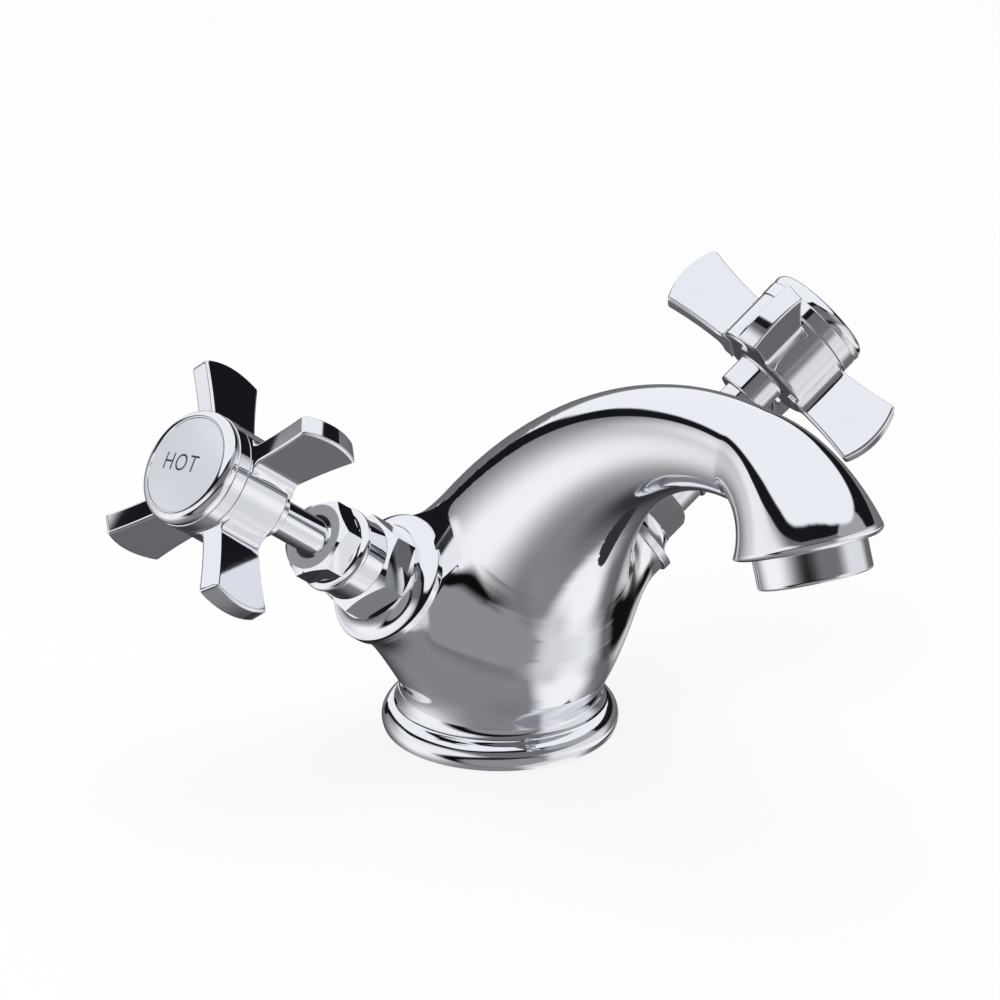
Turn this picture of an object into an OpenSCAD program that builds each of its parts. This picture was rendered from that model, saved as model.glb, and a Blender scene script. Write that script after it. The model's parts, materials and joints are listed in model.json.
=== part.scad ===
// Two-handle basin mixer with a cast body, a swan-neck spout and two cross handles.
// Millimetres. Z is up, the origin is the centre of the base underside on the basin deck.
// The spout points along -Y. The hot side is at -X and the cold side at +X.

/* [Base] */
// Radius of the foot at the deck
foot_r = 25.4; // [22:0.1:28]
// Radius of the narrow waist above the foot
waist_r = 22.2; // [18:0.1:24]
// Height of the waist above the deck
waist_z = 9.2; // [7:0.1:12]

/* [Spout] */
// Height of the spine at the crown of the spout
crown_z = 94.6; // [80:0.1:115]
// Forward reach of the spine at the crown
crown_f = 92.5; // [80:0.1:110]
// Radius of the tube at its slimmest place
neck_r = 9.8; // [8:0.1:13]
// Radius of the flared rim at the outlet
rim_r = 15.2; // [13:0.1:18]
// Tilt of the outlet axis away from the body
outlet_tilt = 22.5; // [10:0.5:35]
// Radius of the water passage in the spout
duct_r = 6.4; // [5:0.1:7]

/* [Valves] */
// Height where both valve axes cross the centre plane
valve_z = 19; // [15:0.5:25]
// Angle of a valve axis above the horizontal
valve_tilt = 37.6; // [25:0.1:50]
// Angle a valve axis is swept toward the spout side
valve_sweep = 4.5; // [0:0.1:10]
// Distance along the axis from the centre plane to the boss face
boss_s = 36.5; // [34:0.1:40]
// Radius of the arm at its slimmest place, just behind the boss face
arm_r = 13.85; // [13:0.05:16]

/* [Handles] */
// Radius of the handle hub
hub_r = 12.3; // [11:0.1:14]
// Radius at the corners of a blade tip
blade_r = 27.1; // [24:0.1:32]
// Thickness of a blade
blade_t = 4.6; // [3:0.1:6]
// Turn of the hot handle on its spindle
hot_turn_deg = 43.4; // [0:0.1:90]
// Turn of the cold handle on its spindle
cold_turn_deg = 52; // [0:0.1:90]

/* [Hidden] */
$fn = 72;
eps = 0.01;
tilt_from_up = 90 - valve_tilt;
valve_bore_r = 10.25;
hex_af = 19.2;
barrel_r = 8.8;
stem_r = 5;
rod_r = 4;
collar_r = 5.9;
// Stations along a valve axis, each measured from the one that carries it
seat_s = boss_s - 16.7;
thread_s = boss_s - 8.5;
seal_s = boss_s - 1.5;
flange_top_s = boss_s + 1.9;
hex_s = flange_top_s + 3.6;
barrel_s = hex_s + 6.6;
recess_s = barrel_s - 0.8;
barrel_top_s = barrel_s + 7.5;
gland_s = barrel_top_s + 0.5;
gland_top_s = gland_s + 5.5;
collar_s = gland_top_s + 13.8;
hub_s = collar_s + 6.9;
blade_mid_s = hub_s + 5.7;
hub_top_s = hub_s + 12.8;
pocket_s = hub_top_s - 5.4;
band_top_s = hub_top_s + 3.4;
bezel_top_s = band_top_s + 3;
// Radii that follow the piece they fit
flange_r = arm_r + 0.75;
stem_bore_r = stem_r + 0.05;
gland_hole_r = rod_r + 0.7;
band_r = hub_r + 0.15;
pocket_r = hub_r - 2.7;
disc_r = band_r - 2.05;
groove_at = [seat_s + 17.2, seat_s + 22.2];
outlet_arc_r = 20;
aerator_r = 11.6;
aerator_thread_r = 10.75;
aerator_drop = 6.5;
thread_up = 4.6;
ring_sides = 36;

// Node to output

// Places and shared shapes

// Puts children on a valve axis: local z runs outward, measured from the centre plane
module on_valve(side)
{
  mirror([side == "cold" ? 1 : 0, 0, 0])
    translate([0, 0, valve_z])
      rotate([0, 0, valve_sweep])
        rotate([0, -tilt_from_up, 0])
          children();
}

// Ring or disc on the local z axis from a to b
module ring(r_out, r_in, a, b)
{
  translate([0, 0, a])
    difference()
    {
      cylinder(r = r_out, h = b - a);
      if (r_in > 0)
        translate([0, 0, -1])
          cylinder(r = r_in, h = b - a + 2);
    }
}

// Round ring of the given section radius, lying in the local xy plane
module round_ring(r_mid, r_section)
{
  rotate_extrude()
    translate([r_mid, 0])
      circle(r = r_section, $fn = 32);
}

// Straight hexagon prism with both end corners turned off
module hex_prism(across, a, b)
{
  tip = across / cos(30) / 2;
  intersection()
  {
    translate([0, 0, a])
      cylinder(r = tip, h = b - a, $fn = 6);
    rotate_extrude()
      polygon([[0, a], [across / 2 + 0.1, a], [tip + 0.05, a + 0.7],
        [tip + 0.05, b - 0.7], [across / 2 + 0.1, b], [0, b]]);
  }
}

// Spine of the spout: one cubic curve from the waist to the crown, then one arc to the outlet
p0 = [0, waist_z - 2.2];
p1 = [1, 49];
p2 = [crown_f - 47, crown_z - 1];
p3 = [crown_f, crown_z];

function bez(t) = (1-t)*(1-t)*(1-t)*p0 + 3*t*(1-t)*(1-t)*p1 + 3*t*t*(1-t)*p2 + t*t*t*p3;
function bez_d(t) = 3*(1-t)*(1-t)*(p1-p0) + 6*t*(1-t)*(p2-p1) + 3*t*t*(p3-p2);

// Heading of the spine from straight up, in degrees, at curve parameter t
function heading(t) = atan2(bez_d(t)[0], bez_d(t)[1]);

crown_heading = heading(1);
outlet_heading = 180 - outlet_tilt;
arc_turn = outlet_heading - crown_heading;

// Point of the outlet arc at fraction v
function arc_pt(v) = p3 + outlet_arc_r * [
  cos(crown_heading) - cos(crown_heading + v * arc_turn),
  sin(crown_heading + v * arc_turn) - sin(crown_heading)];

outlet_pt = arc_pt(1);

function smooth(x) = let (c = min(1, max(0, x))) c * c * (3 - 2 * c);

// Radius of the casting along the curve: a vase that tapers into the neck
function taper(t) = neck_r + 26 * pow(1 - t, 1.95);
function cast_r(t) = waist_r + (taper(t) - waist_r) * smooth(t / 0.3);
function flare_r(v) = neck_r + (rim_r - neck_r) * pow(v, 1.45);

// Ring of points around a place on the spine
function ring_pts(c, head, r, sides) = [for (i = [0 : sides - 1])
  let (a = 360 * i / sides, u = r * cos(a), w = r * sin(a))
  [u, -(c[0] - w * cos(head)), c[1] + w * sin(head)]];

// Closed skin over rings that all have the same number of points
module skin(rings)
{
  n = len(rings[0]);
  m = len(rings);
  pts = [for (r = rings) for (p = r) p];
  sides = [for (j = [0 : m - 2]) for (i = [0 : n - 1])
    let (k = (i + 1) % n, a = j * n + i, b = j * n + k, c = a + n, d = b + n)
    each [[a, d, b], [a, c, d]]];
  first = [[for (i = [0 : n - 1]) i]];
  last = [[for (i = [0 : n - 1]) m * n - 1 - i]];
  polyhedron(points = pts, faces = concat(first, sides, last));
}

// Outer skin of belly, neck and flared outlet
module cast_skin()
{
  lower = [for (j = [0 : 34]) let (t = j / 34)
    ring_pts(bez(t), heading(t), cast_r(t), ring_sides)];
  end = [for (j = [1 : 11]) let (v = 0.95 * j / 11)
    ring_pts(arc_pt(v), crown_heading + v * arc_turn, flare_r(v / 0.95), ring_sides)];
  lip = [for (a = [45, 90]) let (v = 0.95 + 0.05 * sin(a))
    ring_pts(arc_pt(v), crown_heading + v * arc_turn, rim_r - 1.2 * (1 - cos(a)), ring_sides)];
  skin(concat(lower, end, lip));
}

// Water passage from the mixing space to the outlet recess
module duct_skin()
{
  run = [for (j = [0 : 15]) let (t = 0.27 + 0.73 * j / 15)
    ring_pts(bez(t), heading(t), duct_r, 16)];
  end = [for (j = [1 : 6]) let (v = 0.72 * j / 6)
    ring_pts(arc_pt(v), crown_heading + v * arc_turn, duct_r, 16)];
  skin(concat(run, end));
}

// Puts children on the outlet axis: local z runs out of the spout, zero at the outlet face
module on_outlet()
{
  translate([0, -outlet_pt[0], outlet_pt[1]])
    rotate([180 - outlet_tilt, 0, 0])
      children();
}

// Fixed parts

// Turned foot: a round bead below and a hollow sweep up into the waist
module foot()
{
  bead = [for (a = [-15, 0, 12, 24, 36, 48, 60])
    [foot_r - 3.8 + 4.4 * cos(a), 2 + 4.2 * sin(a)]];
  sweep = [for (a = [10 : 16 : 90])
    [waist_r + 1.6 - 1.45 * sin(a), waist_z - 3.5 * cos(a)]];
  rotate_extrude()
    polygon(concat([[0, 0], [foot_r + 0.07, 0]], bead, sweep, [[0, waist_z]]));
}

// Tapered arm that swells from the valve boss down to the waist
function arm_flow(s) = let (back = boss_s - 2.5 - s) arm_r + 0.38 * (sqrt(back * back + 36) - 6);

module arm()
{
  low = boss_s - 29.5;
  flow = [for (i = [0 : 11]) let (s = low + 5 + 2 * i) [arm_flow(s), s]];
  rotate_extrude()
    polygon(concat([[0, low], [arm_r + 0.15, low]], flow, [[arm_flow(boss_s - 0.5), boss_s - 0.5],
      [arm_flow(boss_s - 0.5) - 0.4, boss_s], [0, boss_s]]));
}

module body()
{
  color("silver")
    difference()
    {
      union()
      {
        foot();
        cast_skin();
        on_valve("hot")
          arm();
        on_valve("cold")
          arm();
      }
      duct_skin();
      for (side = ["hot", "cold"])
      {
        on_valve(side)
        {
          translate([0, 0, seat_s])
            cylinder(r = valve_bore_r, h = boss_s - seat_s + 1);
          translate([0, 0, seal_s])
            cylinder(r = valve_bore_r + 1.55, h = boss_s - seal_s + 1);
          translate([0, 0, 9])
            cylinder(r = 4.2, h = seat_s - 8);
        }
      }
      for (x = [-8.5, 8.5])
      {
        translate([x, 2, -1])
          cylinder(r = 3.6, h = 26);
        translate([x, 2, -1])
          cylinder(r = 4.5, h = 15);
      }
      // Cross passage that joins both valve spaces to the mixing space
      translate([-17, -5.5, 36])
        rotate([0, 90, 0])
          cylinder(r = 3.8, h = 34);
      // Stud hole for the deck fixing
      translate([0, -12.5, -1])
        cylinder(r = 3.4, h = 17);
      // Groove for the base seal
      translate([0, 0, -1])
        difference()
        {
          cylinder(r = 23.6, h = 3.15);
          translate([0, 0, -1])
            cylinder(r = 20.8, h = 5);
        }
      // Recess for the aerator
      on_outlet()
      {
        translate([0, 0, -5])
          cylinder(r = aerator_thread_r + 0.05, h = 8);
        translate([0, 0, -8.5])
          cylinder(r1 = 6.6, r2 = 9.6, h = 4);
      }
    }
}

module base_seal()
{
  color("dimgray")
    translate([0, 0, 1.06])
      round_ring(22.2, 1.02);
}

module aerator_housing()
{
  color("silver")
    on_outlet()
      difference()
      {
        rotate_extrude()
          polygon([[9, -thread_up], [aerator_thread_r, -thread_up], [aerator_thread_r, 0.05],
            [aerator_r, 0.05], [aerator_r, aerator_drop - 0.6], [aerator_r - 0.6, aerator_drop],
            [9.5, aerator_drop], [8.8, aerator_drop - 0.7], [8.8, 4.4], [9.8, 4.4], [9.8, -3],
            [9, -3]]);
        // Two flats inside the thread for the mounting key
        for (a = [0, 180])
          rotate([0, 0, a])
            translate([8.8, -2, -thread_up - 1])
              cube([0.9, 4, 1.6]);
      }
}

module aerator_insert()
{
  color("white")
    on_outlet()
      difference()
      {
        union()
        {
          ring(9.75, 0, 2.6, 4.3);
          ring(8.7, 0, 4.2, 5);
          ring(9.75, 8.5, -2.9, 2.7);
        }
        for (ringno = [1 : 3])
          for (i = [0 : ringno * 6 - 1])
            rotate([0, 0, i * 60 / ringno])
              translate([ringno * 2.55, 0, 1])
                cylinder(r = 0.9, h = 6, $fn = 6);
        translate([0, 0, 1])
          cylinder(r = 0.9, h = 6, $fn = 6);
      }
}

module aerator_washer()
{
  color("dimgray")
    on_outlet()
      ring(8.9, 6.9, -4.45, -2.95);
}

// Valve parts, the same on both sides

module headwork()
{
  flange = [for (a = [0 : 15 : 90])
    [hex_af / 2 + 1.2 + 3.8 * (1 - sin(a)), flange_top_s + 3.5 * (1 - cos(a))]];
  difference()
  {
    union()
    {
      // Screwed part and the skirt round the discs
      ring(valve_bore_r - 0.05, 0, thread_s, boss_s + 0.5);
      ring(valve_bore_r - 1.35, 0, seat_s + 1.4, thread_s + 0.5);
      // Dished flange that covers the boss
      rotate_extrude()
        polygon(concat([[0, boss_s + 0.05], [flange_r - 0.3, boss_s + 0.05], [flange_r, boss_s + 0.4]],
          flange, [[0, flange_top_s + 3.5]]));
      // Spanner hexagon
      hex_prism(hex_af, hex_s - 0.4, barrel_s);
      // Barrel with a bead at its outer end
      rotate_extrude()
        polygon([[0, barrel_s - 0.5], [barrel_r, barrel_s - 0.5], [barrel_r, barrel_top_s - 2.1],
          [barrel_r + 0.45, barrel_top_s - 1.8], [barrel_r + 0.65, barrel_top_s - 1.2],
          [barrel_r + 0.45, barrel_top_s - 0.5], [barrel_r - 0.5, barrel_top_s],
          [0, barrel_top_s]]);
    }
    // Disc chamber
    translate([0, 0, seat_s + 0.2])
      cylinder(r = 7.35, h = 12.3);
    // Stem bore and the recess for the gland nut
    translate([0, 0, seat_s + 10.2])
      cylinder(r = stem_bore_r, h = barrel_top_s - seat_s);
    translate([0, 0, recess_s])
      cylinder(r = 6.8, h = 12);
    // Side windows that let the mixed water out
    translate([0, 0, seat_s + 6.6])
      cube([5.6, 24, 2.8], center = true);
  }
}

module headwork_seal()
{
  ring(valve_bore_r + 1.45, valve_bore_r + 0.05, seal_s + 0.03, boss_s + 0.02);
}

module seat_seal()
{
  difference()
  {
    ring(7.25, 4.3, seat_s + 0.05, seat_s + 1.9);
    translate([0, 0, seat_s + 1.1])
      round_ring(7.25, 0.35);
  }
}

// Kidney-shaped port pair through a disc
module ports(a, b)
{
  for (turn = [0, 180])
    rotate([0, 0, turn])
      for (x = [-25, 0, 25])
        rotate([0, 0, x])
          translate([4.1, 0, a])
            cylinder(r = 1.7, h = b - a);
}

module fixed_disc()
{
  difference()
  {
    ring(7.2, 0, seat_s + 1.95, seat_s + 5.2);
    ports(seat_s + 1.2, seat_s + 6.2);
    // Key slots that stop the disc from turning
    for (y = [-7.6, 7.6])
      translate([0, y, seat_s + 3.6])
        cube([2.4, 2, 5], center = true);
  }
}

module moving_disc()
{
  difference()
  {
    ring(7.2, 0, seat_s + 5.22, seat_s + 8.6);
    ports(seat_s + 4.2, seat_s + 7.2);
    // Drive slot for the spindle fork
    translate([0, 0, seat_s + 8.2])
      cube([12, 3, 1.8], center = true);
  }
}

module spindle()
{
  difference()
  {
    union()
    {
      // Fork plate and drive key
      ring(7, 0, seat_s + 8.7, seat_s + 12);
      translate([0, 0, seat_s + 8.4])
        cube([11.6, 2.8, 1.6], center = true);
      // Stem with two seal grooves
      grooves = [for (s = groove_at) each [[stem_r, s - 0.7], [stem_r - 1.1, s - 0.7],
        [stem_r - 1.1, s + 0.7], [stem_r, s + 0.7]]];
      rotate_extrude()
        polygon(concat([[0, seat_s + 11.2], [stem_r, seat_s + 11.2]], grooves,
          [[stem_r, recess_s - 0.4], [rod_r, recess_s - 0.4], [rod_r, hub_s + 0.2],
          [rod_r - 0.4, hub_s + 0.6], [rod_r - 0.4, pocket_s - 0.2], [0, pocket_s - 0.2]]));
      // Splined end that drives the handle
      translate([0, 0, hub_s + 0.4])
        linear_extrude(height = pocket_s - hub_s - 0.8)
          spline_shape(rod_r - 0.4, rod_r - 0.05);
    }
    // Tapped hole for the handle screw
    translate([0, 0, hub_s - 3.8])
      cylinder(r = 1.65, h = pocket_s - hub_s + 4.6);
  }
}

// Twenty-tooth spline
module spline_shape(r_root, r_tip)
{
  polygon([for (i = [0 : 19]) each [
    [r_root * cos(18 * i), r_root * sin(18 * i)],
    [r_tip * cos(18 * i + 6), r_tip * sin(18 * i + 6)],
    [r_tip * cos(18 * i + 12), r_tip * sin(18 * i + 12)]]]);
}

module spindle_orings()
{
  for (s = groove_at)
    translate([0, 0, s])
      round_ring(stem_r - 0.54, 0.54);
}

module thrust_washer()
{
  ring(6.7, rod_r + 0.15, recess_s + 0.05, recess_s + 0.9);
}

module gland_nut()
{
  difference()
  {
    union()
    {
      ring(6.75, 0, recess_s + 1, gland_s);
      ring(7.9, 0, barrel_top_s + 0.05, gland_s + 0.2);
      intersection()
      {
        translate([0, 0, gland_s])
          cylinder(r = 9, h = gland_top_s - gland_s, $fn = 6);
        rotate_extrude()
          polygon([[0, gland_s], [8.4, gland_s], [9.1, gland_s + 0.5], [9.1, gland_top_s - 1.6],
            [8.6, gland_top_s - 0.8], [7.5, gland_top_s - 0.2], [6.6, gland_top_s],
            [0, gland_top_s]]);
      }
    }
    translate([0, 0, recess_s + 0.2])
      cylinder(r = rod_r + 0.3, h = gland_top_s - recess_s - 1.8);
    translate([0, 0, gland_top_s - 2.1])
      cylinder(r = gland_hole_r, h = 4);
    translate([0, 0, gland_top_s - 0.6])
      cylinder(r1 = gland_hole_r, r2 = gland_hole_r + 0.7, h = 0.7);
  }
}

// Handle parts, the same on both sides

// Outline of one blade in radius and axial place, shrunk by k at its edges
function blade_outline(k) = concat(
  [for (i = [0 : 6]) let (q = i / 6)
    [9 + (blade_r - 9) * q - (i == 6 ? k : 0), -6.36 - 1.84 * q * q + k]],
  [for (i = [1 : 7]) let (a = -25.6 + 51.2 * i / 8)
    [blade_r - 17.1 + 19 * cos(a) - k, (8.2 - k) * sin(a) / sin(25.6)]],
  [for (i = [6 : -1 : 0]) let (q = i / 6)
    [9 + (blade_r - 9) * q - (i == 6 ? k : 0), 6.36 + 1.84 * q * q - k]]);

// One blade with turned-off edges; it lies in the plane of the local x and z axes
module blade()
{
  full = blade_outline(0);
  small = blade_outline(0.6);
  half = blade_t / 2;
  function lift(shape, y) = [for (p = shape) [p[0], y, p[1]]];
  skin([lift(small, half), lift(full, half - 0.6), lift(full, 0.6 - half), lift(small, -half)]);
}

// Hollow corner between hub and blade, seen along the axis
module root_corner()
{
  f = 2.4;
  cy = blade_t / 2 + f - 0.06;
  cx = sqrt(pow(hub_r + f - 0.06, 2) - cy * cy);
  difference()
  {
    polygon([[hub_r - 2, 0], [cx, 0], [cx, cy - 0.8], [cx * 0.87, cy * 0.87]]);
    translate([cx, cy])
      circle(r = f);
  }
}

module handle(turn)
{
  difference()
  {
    union()
    {
      // Collar and hub
      rotate_extrude()
        polygon([[0, collar_s], [collar_r - 0.4, collar_s], [collar_r, collar_s + 0.4],
          [collar_r, hub_s - 0.5], [collar_r + 0.5, hub_s], [hub_r - 0.8, hub_s],
          [hub_r - 0.25, hub_s + 0.25], [hub_r, hub_s + 0.8], [hub_r, hub_top_s - 0.15],
          [hub_r - 0.2, hub_top_s], [0, hub_top_s]]);
      for (i = [0 : 3])
        rotate([0, 0, turn + 90 * i])
        {
          translate([0, 0, blade_mid_s])
            blade();
          translate([0, 0, blade_mid_s - 4.7])
            linear_extrude(height = 9.4)
            {
              root_corner();
              mirror([0, 1])
                root_corner();
            }
        }
    }
    // Bore for the rod, spline and screw space
    translate([0, 0, collar_s - 1])
      cylinder(r = rod_r + 0.05, h = hub_s - collar_s + 1.5);
    translate([0, 0, hub_s + 0.2])
      linear_extrude(height = pocket_s - hub_s)
        spline_shape(rod_r - 0.35, rod_r + 0.02);
    translate([0, 0, pocket_s])
      cylinder(r = pocket_r, h = 6);
  }
}

module trim_ring()
{
  rotate_extrude()
    polygon([[pocket_r - 1.4, pocket_s + 2.2], [pocket_r - 0.05, pocket_s + 2.2],
      [pocket_r - 0.05, hub_top_s + 0.05], [band_r - 0.2, hub_top_s + 0.05],
      [band_r, hub_top_s + 0.25], [band_r, band_top_s - 0.25], [band_r - 0.2, band_top_s - 0.05],
      [disc_r + 0.6, band_top_s - 0.05], [disc_r + 0.6, band_top_s - 2],
      [pocket_r - 1.4, band_top_s - 2]]);
}

module bezel()
{
  edge = [for (a = [0 : 10 : 90])
    [band_r - 1.7 + 1.7 * cos(a), bezel_top_s - 2 + 2 * sin(a)]];
  rotate_extrude()
    polygon(concat([[disc_r - 1.1, band_top_s - 1.9], [disc_r + 0.5, band_top_s - 1.9],
      [disc_r + 0.5, band_top_s], [band_r - 0.2, band_top_s], [band_r, band_top_s + 0.25]], edge,
      [[disc_r + 0.06, bezel_top_s], [disc_r + 0.06, bezel_top_s - 1.8],
      [disc_r - 1.1, bezel_top_s - 1.8]]));
}

module index_disc()
{
  dome = [for (i = [0 : 8]) let (x = (disc_r - 0.15) * (1 - i / 8))
    [x, bezel_top_s + 0.3 - 110 + sqrt(110 * 110 - x * x)]];
  rotate_extrude()
    polygon(concat([[0, bezel_top_s - 1.75], [disc_r, bezel_top_s - 1.75],
      [disc_r, bezel_top_s - 0.35]], dome));
}

module handle_screw()
{
  difference()
  {
    union()
    {
      ring(1.6, 0, hub_s - 2.8, pocket_s + 0.2);
      rotate_extrude()
        polygon([[0, pocket_s + 0.05], [5, pocket_s + 0.05], [5, pocket_s + 0.8],
          [3.9, pocket_s + 1], [3.9, pocket_s + 2.7], [3.4, pocket_s + 3.1], [0, pocket_s + 3.1]]);
    }
    // Hexagon socket
    translate([0, 0, pocket_s + 1.2])
      cylinder(r = 1.75, h = 4, $fn = 6);
  }
}

body();
base_seal();
aerator_housing();
aerator_insert();
aerator_washer();
color("silver") on_valve("hot") headwork();  // hot_headwork
color("dimgray") on_valve("hot") headwork_seal();  // hot_headwork_seal
color("dimgray") on_valve("hot") seat_seal();  // hot_seat_seal
color("white") on_valve("hot") fixed_disc();  // hot_fixed_disc
color("white") on_valve("hot") moving_disc();  // hot_moving_disc
color("goldenrod") on_valve("hot") spindle();  // hot_spindle
color("dimgray") on_valve("hot") spindle_orings();  // hot_spindle_orings
color("white") on_valve("hot") thrust_washer();  // hot_thrust_washer
color("silver") on_valve("hot") gland_nut();  // hot_gland_nut
color("silver") on_valve("hot") handle(hot_turn_deg);  // hot_handle
color("silver") on_valve("hot") trim_ring();  // hot_trim_ring
color("silver") on_valve("hot") bezel();  // hot_bezel
color("gainsboro") on_valve("hot") index_disc();  // hot_index_disc
color("gray") on_valve("hot") handle_screw();  // hot_handle_screw
color("silver") on_valve("cold") headwork();  // cold_headwork
color("dimgray") on_valve("cold") headwork_seal();  // cold_headwork_seal
color("dimgray") on_valve("cold") seat_seal();  // cold_seat_seal
color("white") on_valve("cold") fixed_disc();  // cold_fixed_disc
color("white") on_valve("cold") moving_disc();  // cold_moving_disc
color("goldenrod") on_valve("cold") spindle();  // cold_spindle
color("dimgray") on_valve("cold") spindle_orings();  // cold_spindle_orings
color("white") on_valve("cold") thrust_washer();  // cold_thrust_washer
color("silver") on_valve("cold") gland_nut();  // cold_gland_nut
color("silver") on_valve("cold") handle(cold_turn_deg);  // cold_handle
color("silver") on_valve("cold") trim_ring();  // cold_trim_ring
color("silver") on_valve("cold") bezel();  // cold_bezel
color("gainsboro") on_valve("cold") index_disc();  // cold_index_disc
color("gray") on_valve("cold") handle_screw();  // cold_handle_screw
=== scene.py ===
"""Dresses a two-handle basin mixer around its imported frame.

It makes the chrome casting, the turned valve parts and the cross handles, and a white studio.
"""

from __future__ import annotations

import json
import logging
import math
from dataclasses import dataclass, field
from enum import Enum
from typing import Any, Callable, Iterable, Sequence

import bmesh
import bpy
import numpy as np
from mathutils import Matrix, Vector

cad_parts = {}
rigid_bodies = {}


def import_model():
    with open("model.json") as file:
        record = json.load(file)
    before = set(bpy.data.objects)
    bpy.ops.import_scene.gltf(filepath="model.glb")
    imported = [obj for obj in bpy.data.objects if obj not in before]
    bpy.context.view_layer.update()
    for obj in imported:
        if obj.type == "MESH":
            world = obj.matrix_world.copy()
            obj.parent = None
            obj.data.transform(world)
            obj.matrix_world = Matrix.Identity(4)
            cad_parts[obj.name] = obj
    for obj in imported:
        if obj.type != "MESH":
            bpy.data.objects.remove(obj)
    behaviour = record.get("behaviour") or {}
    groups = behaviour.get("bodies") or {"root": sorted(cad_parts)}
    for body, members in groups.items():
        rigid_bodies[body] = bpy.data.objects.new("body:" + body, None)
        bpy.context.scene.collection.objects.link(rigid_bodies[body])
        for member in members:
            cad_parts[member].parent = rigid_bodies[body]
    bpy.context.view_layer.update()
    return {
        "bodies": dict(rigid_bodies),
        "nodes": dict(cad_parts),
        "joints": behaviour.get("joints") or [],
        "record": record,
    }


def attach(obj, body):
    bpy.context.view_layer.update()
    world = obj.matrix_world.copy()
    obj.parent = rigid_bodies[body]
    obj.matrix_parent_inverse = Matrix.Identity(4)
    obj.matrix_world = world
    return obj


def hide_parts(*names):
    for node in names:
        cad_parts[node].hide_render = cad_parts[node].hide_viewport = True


Mesh = bmesh.types.BMesh
Face, Edge, Vert = bmesh.types.BMFace, bmesh.types.BMEdge, bmesh.types.BMVert
Tree, Socket = bpy.types.NodeTree, bpy.types.NodeSocket

LOG = logging.getLogger("basin_mixer")
MM = 0.001
MM_PER_METRE = 1000.0
MICRON = 1e-6
FULL_TURN = 2 * math.pi
SPIN_STEPS = 144
FITTING_STEPS = 120
ROD_STEPS = 96
SUPPORT_MM = 0.14
SHARP_DEG = 32.0
SHARP_FITTING_DEG = 24.0
CORNER_DEG = 50.0
# Colour sockets of the mix node: below, above and the result.
MIX_UNDER, MIX_OVER, MIX_RESULT = 6, 7, 2


class Side(Enum):
    """The two valves of the mixer."""

    HOT = "hot"
    COLD = "cold"

    @property
    def sign(self) -> int:
        """Returns 1 for hot and -1 for cold, whose parts mirror the hot ones."""
        return 1 if self is Side.HOT else -1


class BodyName(Enum):
    """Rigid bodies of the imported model."""

    TAP = "tap_body"
    HOT = "hot_control"
    COLD = "cold_control"


# Finishes


def linear(code: str) -> tuple[float, float, float, float]:
    """Turns an sRGB hex colour into linear light.

    Args:
        code: six hex digits, with or without a leading hash.

    Returns:
        Red, green, blue and an alpha of 1.
    """
    digits = code.lstrip("#")
    parts = [int(digits[i : i + 2], 16) / 255 for i in (0, 2, 4)]
    rgb = [c / 12.92 if c <= 0.04045 else ((c + 0.055) / 1.055) ** 2.4 for c in parts]
    return (rgb[0], rgb[1], rgb[2], 1.0)


def add_node(
    tree: Tree,
    kind: str,
    settings: dict[str, Any] | None = None,
    values: dict[str | int, Any] | None = None,
    links: dict[str | int, Socket] | None = None,
) -> bpy.types.Node:
    """Adds one shader node.

    Args:
        tree: node tree that gets the node.
        kind: Blender's type name of the node.
        settings: properties of the node itself.
        values: default values by name or number of the input.
        links: sockets to join, by name or number of the input.

    Returns:
        The new node.
    """
    node = tree.nodes.new(kind)
    for key, value in (settings or {}).items():
        setattr(node, key, value)
    for key, value in (values or {}).items():
        node.inputs[key].default_value = value
    for key, socket in (links or {}).items():
        tree.links.new(socket, node.inputs[key])
    return node


def calculate(tree: Tree, operation: str, *operands: float | Socket) -> Socket:
    """Adds one math node.

    Args:
        tree: node tree that gets the node.
        operation: Blender's name of the operation.
        operands: a number or a socket for each input, in order.

    Returns:
        The socket with the result.
    """
    links = {i: x for i, x in enumerate(operands) if isinstance(x, Socket)}
    values = {i: x for i, x in enumerate(operands) if i not in links}
    return add_node(tree, "ShaderNodeMath", {"operation": operation}, values, links).outputs[0]


def along(tree: Tree, direction: Socket, axis: Vector) -> Socket:
    """Adds a node that measures a direction along an axis.

    Args:
        tree: node tree that gets the node.
        direction: socket with the direction.
        axis: the axis, whose length scales the result.

    Returns:
        The socket with their dot product.
    """
    node = add_node(
        tree, "ShaderNodeVectorMath", {"operation": "DOT_PRODUCT"}, {1: axis}, {0: direction}
    )
    return node.outputs["Value"]


def share_of(tree: Tree, value: Socket, low: float, high: float, shape: str = "LINEAR") -> Socket:
    """Adds a node that turns a value into a share of a range.

    Args:
        tree: node tree that gets the node.
        value: socket with the value.
        low: value that gives 0.
        high: value that gives 1.
        shape: Blender's name of the way from 0 to 1.

    Returns:
        The socket with the share, held between 0 and 1.
    """
    node = add_node(
        tree,
        "ShaderNodeMapRange",
        {"interpolation_type": shape},
        {"From Min": low, "From Max": high},
        {"Value": value},
    )
    return node.outputs["Result"]


def laid_over(tree: Tree, share: Socket, under: Socket | str, over: str) -> Socket:
    """Adds a node that lays one colour over another.

    Args:
        tree: node tree that gets the node.
        share: socket with how much the upper colour covers.
        under: the lower colour, as a socket or an sRGB hex code.
        over: the upper colour, as an sRGB hex code.

    Returns:
        The socket with the mixed colour.
    """
    values, links = {MIX_OVER: linear(over)}, {"Factor": share}
    if isinstance(under, str):
        values[MIX_UNDER] = linear(under)
    else:
        links[MIX_UNDER] = under
    node = add_node(tree, "ShaderNodeMix", {"data_type": "RGBA"}, values, links)
    return node.outputs[MIX_RESULT]


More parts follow.
